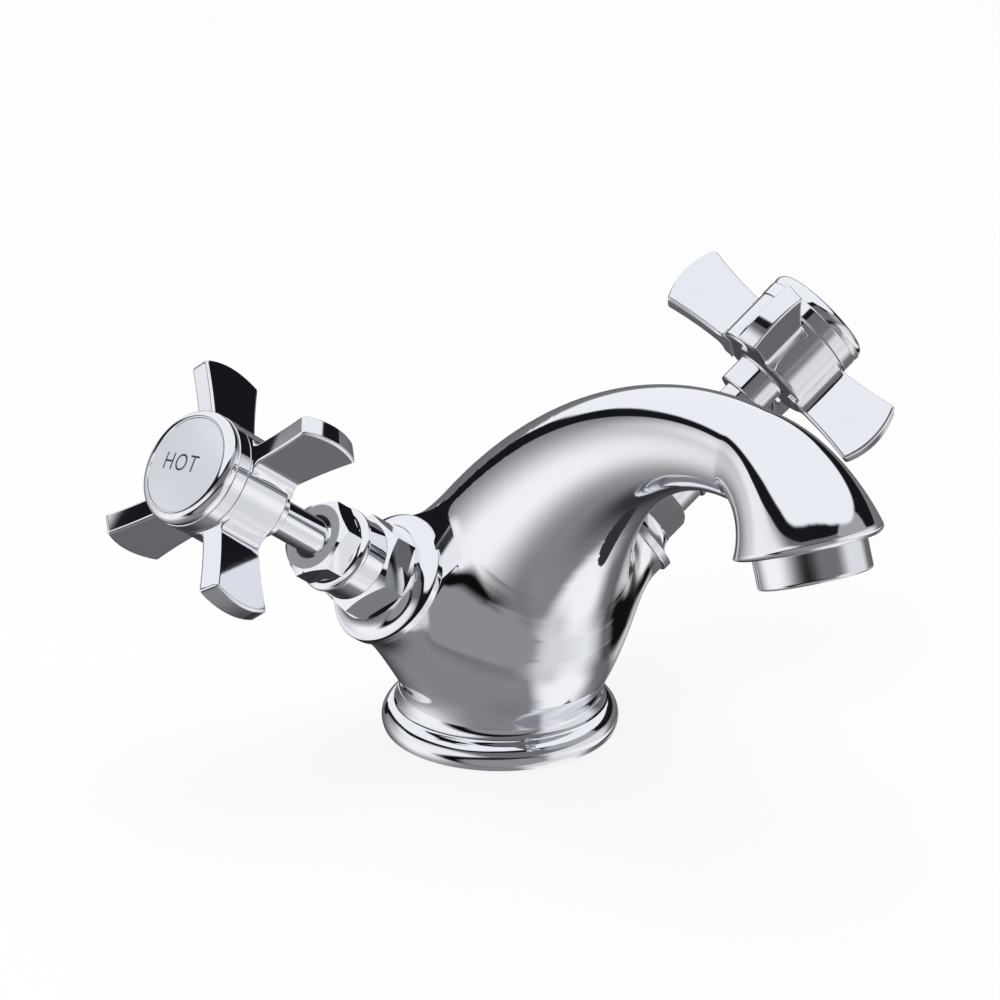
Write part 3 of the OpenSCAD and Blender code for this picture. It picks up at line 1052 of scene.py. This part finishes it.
@dataclass
class Valve:
    """The fixed valve parts that show: headwork with its flange and hexagon, and gland nut."""

    side: Side
    hex_across: float = 19.2
    barrel_r: float = 8.8
    boss_s: float = 36.55
    flange_top: float = 38.4
    hex_low: float = 41.7
    barrel_low: float = 48.6
    gland_low: float = 56.6
    gland_top: float = 62.1
    gland_across: float = 15.59
    gland_bore_r: float = 4.84
    hex_turn_deg: float = 20.0
    edge: float = 0.14

    def headwork(self) -> Mesh:
        """Makes the headwork: skirt, dished flange, hexagon and beaded barrel.

        Returns:
            The headwork.
        """
        dish_r, dish_z = self.hex_across / 2 + 1.2, self.flange_top
        dish = arc(
            0,
            90,
            16,
            lambda a: (dish_r + 3.8 * (1 - math.sin(a)), dish_z + 3.5 * (1 - math.cos(a))),
        )
        low = rounded(
            [
                (5.05, 32.3, 0), (7.35, 32.3, 0), (7.35, 21.2, 0), (8.9, 21.2, 0.2),
                (8.9, 28, 0), (10.2, 28, 0.3), (10.2, self.boss_s, 0), (14.6, self.boss_s, 0.35),
                (14.6, self.flange_top, 0),
            ]
        )
        high = rounded(
            [
                (10.8, 41.9, 0), (self.barrel_r, 42.1, 0), (self.barrel_r, 53.95, 0.25),
                (self.barrel_r + 0.65, 54.35, 0.3), (self.barrel_r + 0.65, 55.35, 0.45),
                (self.barrel_r - 0.4, 56.1, 0.3), (6.8, 56.1, 0), (6.8, 47.8, 0), (5.05, 47.8, 0),
            ]
        )
        return turn_profile(low + dish[1:-1] + high, closed=True)

    def hexagon(self) -> Mesh:
        """Makes the spanner hexagon, its outer corners turned off a little.

        Returns:
            The hexagon.
        """
        bar = hex_bar(self.hex_across, self.hex_low, self.barrel_low)
        flat = self.hex_across / 2
        past = flat / math.cos(math.pi / 6) + 1
        limit = rounded(
            [
                (0, self.hex_low - 1, 0), (past, self.hex_low - 1, 0),
                (past, self.barrel_low - 1.8, 0), (flat - 0.7, self.barrel_low, 0),
                (0, self.barrel_low, 0),
            ]
        )
        bm = combined(bar, turn_profile(limit, steps=FITTING_STEPS), "INTERSECT")
        soften(bm, sharp_edges(bm, CORNER_DEG), self.edge, 2)
        turn = Matrix.Rotation(math.radians(self.side.sign * self.hex_turn_deg), 3, "Z")
        bmesh.ops.rotate(bm, verts=bm.verts[:], matrix=turn)
        return bm

    def gland(self) -> Mesh:
        """Makes the gland nut: collar and domed hexagon with the spindle hole.

        Returns:
            The gland nut.
        """
        bar = hex_bar(self.gland_across, self.gland_low, self.gland_top + 1)
        dome = rounded(
            [
                (4.7, self.gland_low - 1, 0), (10, self.gland_low - 1, 0),
                (9.6, self.gland_low, 0), (9.15, self.gland_low + 0.9, 0),
                (9.15, self.gland_top - 1.25, 0), (7.25, self.gland_top, 0),
                (4.95, self.gland_top, 0), (4.7, self.gland_top - 0.3, 0),
            ],
            closed=True,
        )
        limit = turn_profile(dome, closed=True, steps=FITTING_STEPS)
        nut = combined(bar, limit, "INTERSECT")
        soften(nut, sharp_edges(nut, CORNER_DEG), self.edge, 2)
        collar = rounded(
            [
                (4.3, 48.8, 0), (6.75, 48.8, 0), (6.75, 56.15, 0), (7.9, 56.15, 0.15),
                (7.9, 57, 0.15), (4.3, 57, 0),
            ],
            closed=True,
        )
        return merge_in(nut, turn_profile(collar, closed=True))

    def on_gland_end(self, face: Face) -> bool:
        """Tells whether a face lies on the flat end of the gland nut.

        Args:
            face: face of the nut in the valve's own frame.

        Returns:
            True for the faces left as turned.
        """
        at_top = face.calc_center_median().z > self.gland_top - 0.05
        return at_top and abs(face.normal.z) > 0.9

    def in_gland_bore(self, face: Face) -> bool:
        """Tells whether a face lies in the spindle hole of the gland nut.

        Args:
            face: face of the nut in the valve's own frame.

        Returns:
            True for the faces of the hole, which are painted near-black as shade.
        """
        return face.calc_center_median().xy.length < self.gland_bore_r

    def build(self) -> None:
        """Makes both fixed pieces of this valve."""
        name, place = self.side.value, ValveAxis(self.side).frame()
        # The spindle hole's faces get painted shade: a near-black colour for the darkness deep in
        # the bore.
        gland_faces = ((TURNED_END, self.on_gland_end), (BORE_PAINTED_SHADE, self.in_gland_bore))
        rows = (
            ("headwork", "headwork", merge_in(self.headwork(), self.hexagon()), ()),
            ("gland", "gland_nut", self.gland(), gland_faces),
        )
        for label, node, bm, other_faces in rows:
            Piece(
                f"{name}_{label}_plated",
                CHROME,
                BodyName.TAP,
                "trim_chrome",
                (f"{name}_{node}",),
                flats=True,
                mirrored=False,
                other_faces=other_faces,
            ).finish_from(bm, place, SHARP_FITTING_DEG)


@dataclass
class CrossHandle:
    """One cross handle with its spindle, trim ring, bezel and index disc."""

    side: Side
    turn_deg: float
    hub_r: float = 12.3
    blade_mid: float = 88.5
    blade_half: float = 2.3
    tip_centre: float = 10.0
    tip_r: float = 19.0
    tip_deg: float = 25.6
    root_half: float = 6.36
    root_r: float = 9.0
    fillet: float = 2.4
    draft_deg: float = 5.0
    tip_widening: float = 1.84
    blade_edge: float = 0.7
    disc_top: float = 102.3
    dome_r: float = 110.0
    letter_size: float = 5.35
    letter_space: float = 1.12
    word_lean_deg: float = 12.8
    word_shift: float = 1.35
    word_narrowing: float = 0.86
    ink_lift: float = 0.02

    def body(self) -> BodyName:
        """Returns the moving body of this handle."""
        return BodyName.HOT if self.side is Side.HOT else BodyName.COLD

    def blade(self) -> Mesh:
        """Makes one flat flared blade, swelling into the hub at its root.

        Returns:
            The blade along the local x axis.
        """
        bm = bmesh.new()
        bmesh.ops.create_grid(bm, x_segments=30, y_segments=18, size=1.0)
        centre_y = self.blade_half + self.fillet
        centre_x = math.sqrt((self.hub_r + self.fillet) ** 2 - centre_y**2)
        tip_sin = math.sin(math.radians(self.tip_deg))
        for v in bm.verts:
            u, w = (v.co.x + 1) / 2, v.co.y
            a = math.radians(self.tip_deg) * w
            far = self.tip_centre + self.tip_r * math.cos(a)
            r = self.root_r + (far - self.root_r) * u
            z = (self.root_half + self.tip_widening * u * u) * math.sin(a) / tip_sin
            inward = min(self.fillet, max(0.0, centre_x - r))
            y = centre_y - math.sqrt(self.fillet**2 - inward**2)
            v.co = Vector((r, y, self.blade_mid + z))
        made = bmesh.ops.extrude_face_region(bm, geom=bm.faces[:], use_keep_orig=True)
        for g in made["geom"]:
            if isinstance(g, Vert):
                g.co.y = -g.co.y
        taper = math.tan(math.radians(self.draft_deg)) / self.root_half
        for v in bm.verts:
            z = (v.co.z - self.blade_mid) * (1 - taper * (v.co.y + self.blade_half))
            v.co.z = self.blade_mid + z
        bmesh.ops.recalc_face_normals(bm, faces=bm.faces[:])
        clear = self.root_r + 0.5
        outer = [e for e in sharp_edges(bm, CORNER_DEG) if min(v.co.x for v in e.verts) > clear]
        soften(bm, outer, self.blade_edge, 4)
        return bm

    def hub(self) -> Mesh:
        """Turns the collar and hub and sets the four blades on it.

        Returns:
            The handle.
        """
        profile = rounded(
            [
                (4.06, 75.9, 0.2), (5.9, 75.9, 0.45), (5.9, 82.8, 0.7), (self.hub_r, 82.8, 0.9),
                (self.hub_r, 95.6, 0.3), (9.6, 95.6, 0), (9.6, 90.2, 0), (4.06, 90.2, 0),
            ],
            closed=True,
        )
        bm = turn_profile(profile, closed=True)
        for quarter in (0, 90, 180, 270):
            blade = self.blade()
            angle = math.radians(self.side.sign * self.turn_deg + quarter)
            turn = Matrix.Rotation(angle, 3, "Z")
            bmesh.ops.rotate(blade, verts=blade.verts[:], matrix=turn)
            merge_in(bm, blade)
        return bm

    def spindle(self) -> Mesh:
        """Turns the spindle: fork plate, grooved stem and plated rod.

        Returns:
            The spindle.
        """
        profile = rounded(
            [
                (0, 28.5, 0), (7, 28.5, 0.2), (7, 31.8, 0.2), (5, 31.8, 0.2), (5, 36.3, 0.1),
                (3.9, 36.3, 0), (3.9, 37.7, 0), (5, 37.7, 0.1), (5, 41.3, 0.1), (3.9, 41.3, 0),
                (3.9, 42.7, 0), (5, 42.7, 0.1), (5, 47.4, 0.2), (4, 47.4, 0), (4, 58, 0),
            ]
        )
        profile += arc(0, 90, 12, lambda a: (2.5 + 1.5 * math.sin(a), 63.1 - 2.4 * math.cos(a)))
        profile += rounded(
            [
                (4, 64, 0), (4, 83, 0.3), (3.6, 83.4, 0), (3.6, 90, 0.2), (1.65, 90, 0),
                (1.65, 79, 0), (0, 79, 0),
            ]
        )
        return turn_profile(profile, steps=ROD_STEPS)

    def trim(self) -> Mesh:
        """Turns the plain band between hub and bezel.

        Returns:
            The trim ring.
        """
        profile = [
            (8.2, 92.4, 0), (9.55, 92.4, 0), (9.55, 95.66, 0), (12.45, 95.66, 0.25),
            (12.45, 98.95, 0.25), (11, 98.95, 0), (11, 97, 0), (8.2, 97, 0),
        ]
        return turn_profile(rounded(profile, closed=True), closed=True)

    def bezel(self) -> Mesh:
        """Turns the rounded cap ring that holds the index disc.

        Returns:
            The cap ring.
        """
        low = rounded(
            [(9.3, 97.1, 0), (10.9, 97.1, 0), (10.9, 99.02, 0), (12.45, 99.02, 0.2)], closed=True
        )
        edge = arc(0, 90, 20, lambda a: (10.75 + 1.7 * math.cos(a), 100 + 2 * math.sin(a)))
        inside = ((10.62, 102), (10.46, 101.92), (10.46, 100.2), (9.3, 100.2))
        top = [Vector((r, 0, z)) for r, z in inside]
        return turn_profile(low[:-1] + edge + top, closed=True)

    def index_plate(self) -> Mesh:
        """Turns the slightly domed index disc.

        Returns:
            The disc.
        """
        points = [Vector((0, 0, 100.25)), Vector((10.4, 0, 100.25)), Vector((10.4, 0, 101.5))]
        steps, edge_r = 12, 10.32
        for k in range(steps + 1):
            x = edge_r * (1 - k / steps)
            points.append(Vector((x, 0, self.dome(x))))
        return turn_profile(points)

    def dome(self, x: float) -> float:
        """Returns the height of the index disc at radius x."""
        return self.disc_top - self.dome_r + math.sqrt(self.dome_r * self.dome_r - x * x)

    def word(self) -> Mesh:
        """Draws the generic word for the water's temperature on the index disc.

        Returns:
            A flat mesh that follows the disc.
        """
        curve = bpy.data.curves.new("index_word", "FONT")
        curve.body = self.side.name
        curve.size = self.letter_size
        curve.align_x, curve.align_y = "CENTER", "CENTER"
        curve.space_character = self.letter_space
        curve.offset = -0.028
        curve.resolution_u = 6
        holder = bpy.data.objects.new("index_word", curve)
        bpy.context.scene.collection.objects.link(holder)
        bm = evaluated(holder)
        bpy.data.objects.remove(holder)
        bpy.data.curves.remove(curve)
        lean, sign = math.radians(self.word_lean_deg), self.side.sign
        up = Vector((math.cos(lean), sign * math.sin(lean), 0))
        right = Vector((sign * math.sin(lean), -math.cos(lean), 0))
        for v in bm.verts:
            flat = right * (v.co.x - self.word_shift) * self.word_narrowing + up * v.co.y
            v.co = Vector((flat.x, flat.y, self.dome(flat.length) + self.ink_lift))
        return bm

    def build(self) -> None:
        """Makes the moving pieces of this side."""
        name, place, body = self.side.value, ValveAxis(self.side).frame(), self.body()
        rows = (
            ("handle_plated", HANDLE_CHROME, "handle_chrome", ("handle",), self.hub()),
            ("spindle_plated", CHROME, "spindle_brass", ("spindle",), self.spindle()),
            ("trim_band", CHROME, "trim_chrome", ("trim_ring",), self.trim()),
            ("bezel_plated", CHROME, "trim_chrome", ("bezel",), self.bezel()),
            ("index_plate", SATIN_INDEX, "index_face", ("index_disc",), self.index_plate()),
            ("index_word", INK, "index_face", (), self.word()),
        )
        for label, finish, slot, nodes, bm in rows:
            Piece(
                f"{name}_{label}",
                finish,
                body,
                slot,
                tuple(f"{name}_{node}" for node in nodes),
                flats=label == "handle_plated",
                mirrored=False,
            ).finish_from(bm, place)


@dataclass
class Aerator:
    """The plated aerator ring at the outlet."""

    outer_r: float = 11.6
    thread_r: float = 10.75
    drop: float = 6.5

    def build(self, spine: Spine) -> None:
        """Makes the aerator ring.

        Args:
            spine: gives the outlet frame.
        """
        profile = rounded(
            [
                (9, -4.6, 0), (self.thread_r, -4.6, 0.2), (self.thread_r, 0.05, 0),
                (self.outer_r, 0.05, 0.1), (self.outer_r, self.drop, 0.7),
                (9.15, self.drop, 0.5), (8.8, self.drop - 0.7, 0), (8.8, 4.4, 0), (9.8, 4.4, 0),
                (9.8, -3, 0), (9, -3, 0),
            ],
            closed=True,
        )
        Piece(
            "aerator_ring", CHROME, BodyName.TAP, "trim_chrome", ("aerator_housing",)
        ).finish_from(turn_profile(profile, closed=True), spine.outlet())


@dataclass
class InnerParts:
    """CAD nodes that stay as they are and only get their finish."""

    finishes: dict[str, Finish] = field(
        default_factory=lambda: {
            "base_seal": NITRILE,
            "aerator_insert": ACETAL,
            "aerator_washer": NITRILE,
            "headwork_seal": FIBRE,
            "seat_seal": NITRILE,
            "fixed_disc": ALUMINA,
            "moving_disc": ALUMINA,
            "spindle_orings": NITRILE,
            "thrust_washer": ACETAL,
            "handle_screw": STAINLESS,
        }
    )

    def dress(self, nodes: dict[str, bpy.types.Object]) -> None:
        """Gives each CAD node its finish.

        Args:
            nodes: CAD nodes by name.
        """
        for name, obj in nodes.items():
            key = name.split("_", 1)[1] if name.split("_", 1)[0] in ("hot", "cold") else name
            finish = self.finishes.get(key, CHROME)
            for holder in obj.material_slots:
                holder.material = finish.material()
            # The parts around them aren't mirrored, so these must not show through them there.
            obj.visible_glossy = False
            LOG.info("%s: %s", name, finish.name)


# Studio

# Level directions of the scene: to the right of the photograph, and from the object to the viewer.
RIGHT_HAND = Vector((0.84028, -0.54215, 0.0))
TOWARD_VIEW = Vector((-0.54215, -0.84028, 0.0))


def compass(azimuth: float, elevation: float) -> Vector:
    """Turns a bearing into a direction of the scene.

    Args:
        azimuth: degrees to the right of the photographer's side, seen from above.
        elevation: degrees above the floor.

    Returns:
        A unit vector.
    """
    a, e = math.radians(azimuth), math.radians(elevation)
    flat = RIGHT_HAND * math.sin(a) + TOWARD_VIEW * math.cos(a)
    return flat * math.cos(e) + Vector((0, 0, math.sin(e)))


@dataclass(frozen=True)
class Panel:
    """A soft-edged panel of the studio, as the chrome mirrors it from all round."""

    azimuth: float
    elevation: float
    half_width: float
    half_height: float
    roll: float
    soft: float
    squareness: float
    shade: str

    def cover(self, tree: Tree, direction: Socket) -> Socket:
        """Works out how much of each direction the panel covers.

        Args:
            tree: node tree of the world.
            direction: unit direction of the ray.

        Returns:
            A socket with 1 on the panel and 0 off it.
        """
        facing = compass(self.azimuth, self.elevation)
        level = compass(self.azimuth + 90, 0)
        rise = compass(self.azimuth, self.elevation + 90)
        turn = math.radians(self.roll)
        axes = (
            (level * math.cos(turn) + rise * math.sin(turn), self.half_width),
            (rise * math.cos(turn) - level * math.sin(turn), self.half_height),
        )
        parts = []
        for axis, reach in axes:
            offset = along(tree, direction, axis / math.sin(math.radians(reach)))
            size = calculate(tree, "ABSOLUTE", offset)
            parts.append(calculate(tree, "POWER", size, self.squareness))
        total = calculate(tree, "ADD", *parts)
        radius = calculate(tree, "POWER", total, 1 / self.squareness)
        inside = share_of(tree, radius, 1 + self.soft, 1 - self.soft, "SMOOTHSTEP")
        ahead = calculate(tree, "GREATER_THAN", along(tree, direction, facing), 0.0)
        return calculate(tree, "MULTIPLY", inside, ahead)


@dataclass(frozen=True)
class Skyline:
    """An edge that runs all the way round the studio, given by its height at some bearings."""

    heights: tuple[tuple[float, float], ...]
    soft: float

    def above(self, tree: Tree, bearing: Socket, height: Socket) -> Socket:
        """Works out which directions lie above the edge.

        Args:
            tree: node tree of the world.
            bearing: azimuth of the ray, 0 to 1 for a full turn.
            height: elevation of the ray, 0 to 1 from straight down to straight up.

        Returns:
            A socket with 1 above the edge and 0 below it.
        """
        edge = add_node(tree, "ShaderNodeFloatCurve", links={"Value": bearing})
        curve = edge.mapping.curves[0]
        full, half, quarter = 360, 180, 90
        points = [((a + half) / full, (e + quarter) / half) for a, e in self.heights]
        for place, (x, y) in enumerate(points):
            if 0 < place < len(points) - 1:
                curve.points.new(x, y)
        curve.points[0].location, curve.points[-1].location = points[0], points[-1]
        for point in curve.points:
            point.handle_type = "VECTOR"
        edge.mapping.update()
        over = calculate(tree, "SUBTRACT", height, edge.outputs["Value"])
        reach = self.soft / half
        return share_of(tree, over, -reach, reach, "SMOOTHSTEP")


@dataclass
class Studio:
    """White surroundings, a pale floor, soft lamps and the camera of the photograph."""

    camera_at: tuple[float, float, float] = (-0.51905, -0.80448, 0.45682)
    look: tuple[float, float, float] = (0.49946, 0.77412, -0.38896)
    lens_mm: float = 173.57
    fall: tuple[tuple[float, str], ...] = (
        (0.000, "#848588"),
        (0.075, "#8a8b8e"),
        (0.250, "#525356"),
        (0.500, "#7a7b7e"),
        (0.800, "#6e6f72"),
    )
    low_panels: tuple[Panel, ...] = (
        Panel(-174, -56, 14, 29, 6, 0.70, 2.1, "#343538"),
        Panel(-56, 8, 38, 20, 4, 0.33, 2.3, "#f6f7fa"),
        Panel(-92, 13, 24, 11, -4, 0.45, 2.3, "#f1f2f5"),
        Panel(-85, -17, 34, 27, 4, 0.70, 2.5, "#ffffff"),
        Panel(74, -6, 46, 21, 3, 0.20, 2.5, "#e6e7ea"),
        Panel(108, -24, 49, 8, -13, 0.38, 2.7, "#ffffff"),
        Panel(74, -38, 22, 14, 6, 0.73, 2.1, "#f4f5f8"),
        Panel(50, -41, 22, 9, 14, 0.80, 2.3, "#dedfe2"),
        Panel(88, -66, 27, 8, 0, 0.60, 2.1, "#fafbfe"),
        Panel(92, -57, 21, 11, -8, 0.50, 2.1, "#ffffff"),
        Panel(138, -29, 23, 5, 20, 0.53, 2.1, "#111111"),
        Panel(-8, -14, 53, 28, 11, 0.13, 1.7, "#0d0d0d"),
        Panel(5, -21, 40, 24, 9, 0.12, 2.2, "#929396"),
        Panel(148, -60, 13, 7, 15, 0.02, 2.4, "#343538"),
    )
    flag_foot: Skyline = Skyline(
        (
            (-180, 1.5), (-154, -0.5), (-151, -9.0), (-141.5, -8.0), (-140, 3.5), (-135, 8.9),
            (-129, 12.7), (-122, 16.2), (-116, 18.9), (-109, 19.6), (-100, 19.4), (-90, 22.0),
            (-76, 27.6), (-60, 31.4), (-45, 35.4), (-30, 38.8), (0, 44.5), (30, 42.6),
            (60, 45.0), (90, 28.0), (120, 8.5), (150, 3.0), (180, 1.5),
        ),
        0.6,
    )
    flag_shade: str = "#18191c"
    high_panels: tuple[Panel, ...] = (Panel(80, 31, 27, 13, -20, 0.08, 2.6, "#a8a9ac"),)
    flag_top: Skyline = Skyline(
        (
            (-180, 2.0), (-154, 0.0), (-152, 5.2), (-146, 9.2), (-142, 14.5), (-137, 18.2),
            (-132, 20.6), (-127, 23.2), (-122, 25.2), (-110, 28.4), (-100, 31.8), (-90, 35.6),
            (-78, 38.4), (-64, 41.2), (-50, 42.4), (-38, 45.0), (-25, 49.0), (-7, 53.6),
            (13, 55.4), (32, 54.4), (60, 48.4), (90, 36.8), (120, 28.2), (150, 22.0),
            (180, 2.0),
        ),
        1.5,
    )
    overhead_shade: str = "#f9fafe"
    floor_shade: str = "#f4f5f7"
    floor_r: float = 6.0
    floor_glow: float = 0.82
    middle: tuple[float, float, float] = (0.0, -0.03, 0.05)

    def camera(self) -> None:
        """Sets up the camera at the photograph's viewpoint."""
        data = bpy.data.cameras.new("viewpoint")
        data.lens, data.sensor_width, data.sensor_height = self.lens_mm, 36.0, 36.0
        data.clip_start, data.clip_end = 0.05, 20.0
        obj = bpy.data.objects.new("viewpoint", data)
        obj.location = self.camera_at
        obj.rotation_mode = "QUATERNION"
        obj.rotation_quaternion = Vector(self.look).to_track_quat("-Z", "Y")
        bpy.context.scene.collection.objects.link(obj)
        bpy.context.scene.camera = obj

    def surroundings(self) -> None:
        """Makes the world: white to the camera, and to the chrome a tent of panels and flags."""
        world = bpy.data.worlds.new("studio")
        world.use_nodes = True
        bpy.context.scene.world = world
        tree = world.node_tree
        tree.nodes.clear()
        out = add_node(tree, "ShaderNodeOutputWorld")
        place = add_node(tree, "ShaderNodeTexCoord")
        direction = place.outputs["Generated"]
        parts = add_node(tree, "ShaderNodeSeparateXYZ", links={"Vector": direction})
        drop = share_of(tree, parts.outputs["Z"], -1.0, 1.0)
        ramp = add_node(tree, "ShaderNodeValToRGB", links={"Fac": drop})
        elements = ramp.color_ramp.elements
        elements[0].position, elements[0].color = self.fall[0][0], linear(self.fall[0][1])
        elements[1].position, elements[1].color = self.fall[-1][0], linear(self.fall[-1][1])
        for position, code in self.fall[1:-1]:
            elements.new(position).color = linear(code)
        sides = [along(tree, direction, axis) for axis in (RIGHT_HAND, TOWARD_VIEW)]
        bearing = share_of(tree, calculate(tree, "ARCTAN2", *sides), -math.pi, math.pi)
        lean = calculate(tree, "ARCSINE", parts.outputs["Z"])
        height = share_of(tree, lean, -math.pi / 2, math.pi / 2)
        layers = [(panel.cover(tree, direction), panel.shade) for panel in self.low_panels]
        layers.append((self.flag_foot.above(tree, bearing, height), self.flag_shade))
        layers += [(panel.cover(tree, direction), panel.shade) for panel in self.high_panels]
        layers.append((self.flag_top.above(tree, bearing, height), self.overhead_shade))
        light = ramp.outputs["Color"]
        for share, shade in layers:
            light = laid_over(tree, share, light, shade)
        around = add_node(
            tree, "ShaderNodeBackground", values={"Strength": 1.0}, links={"Color": light}
        )
        plain = add_node(
            tree, "ShaderNodeBackground", values={"Color": (1, 1, 1, 1), "Strength": 1.0}
        )
        seen = add_node(tree, "ShaderNodeLightPath").outputs["Is Camera Ray"]
        links = {0: seen, 1: around.outputs[0], 2: plain.outputs[0]}
        mix = add_node(tree, "ShaderNodeMixShader", links=links)
        tree.links.new(mix.outputs[0], out.inputs["Surface"])

    def floor(self) -> None:
        """Lays the pale floor, which keeps a soft shadow and looks white to the camera."""
        bm = bmesh.new()
        bmesh.ops.create_circle(bm, cap_ends=True, segments=96, radius=self.floor_r)
        obj = as_object("studio_floor", bm)
        made = bpy.data.materials.new("studio_floor")
        made.use_nodes = True
        tree = made.node_tree
        shader = tree.nodes["Principled BSDF"]
        shader.inputs["Base Color"].default_value = linear(self.floor_shade)
        shader.inputs["Roughness"].default_value = 0.9
        shader.inputs["Specular IOR Level"].default_value = 0.0
        out = tree.nodes["Material Output"]
        glow = add_node(
            tree, "ShaderNodeEmission", values={"Color": (1, 1, 1, 1), "Strength": 1.0}
        )
        seen = add_node(tree, "ShaderNodeLightPath").outputs["Is Camera Ray"]
        share = calculate(tree, "MULTIPLY", seen, self.floor_glow)
        links = {0: share, 1: shader.outputs[0], 2: glow.outputs[0]}
        mix = add_node(tree, "ShaderNodeMixShader", links=links)
        tree.links.new(mix.outputs[0], out.inputs["Surface"])
        obj.data.materials.append(made)
        obj.visible_glossy = False

    def lamps(self) -> None:
        """Hangs two broad soft lamps for the matt pieces and the floor's shadow."""
        for name, at, size, power in (
            ("overhead", (-0.2, -0.3, 1.6), 1.4, 9.0),
            ("front", (-1.1, -1.4, 0.9), 1.0, 6.0),
        ):
            data = bpy.data.lights.new(name, "AREA")
            data.shape, data.size, data.energy = "DISK", size, power
            obj = bpy.data.objects.new(name, data)
            obj.location = at
            obj.rotation_mode = "QUATERNION"
            aim = Vector(self.middle) - Vector(at)
            obj.rotation_quaternion = aim.to_track_quat("-Z", "Y")
            obj.visible_glossy = False
            bpy.context.scene.collection.objects.link(obj)

    def build(self) -> None:
        """Sets up everything round the object."""
        self.camera()
        self.surroundings()
        self.floor()
        self.lamps()


# How far each handle's first blade stands turned at rest.
REST_TURN_DEG = {Side.HOT: 43.4, Side.COLD: 52.0}


def main() -> None:
    """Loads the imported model, dresses it and sets up the studio."""
    logging.basicConfig(level=logging.INFO, format="%(message)s")
    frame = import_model()
    bpy.context.scene.view_settings.view_transform = "Standard"
    Studio().build()
    InnerParts().dress(frame["nodes"])
    body = CastBody()
    body.build()
    Aerator().build(body.spine)
    for side, rest_turn in REST_TURN_DEG.items():
        Valve(side).build()
        CrossHandle(side, rest_turn).build()
    LOG.info("scene built")


if __name__ == "__main__":
    main()
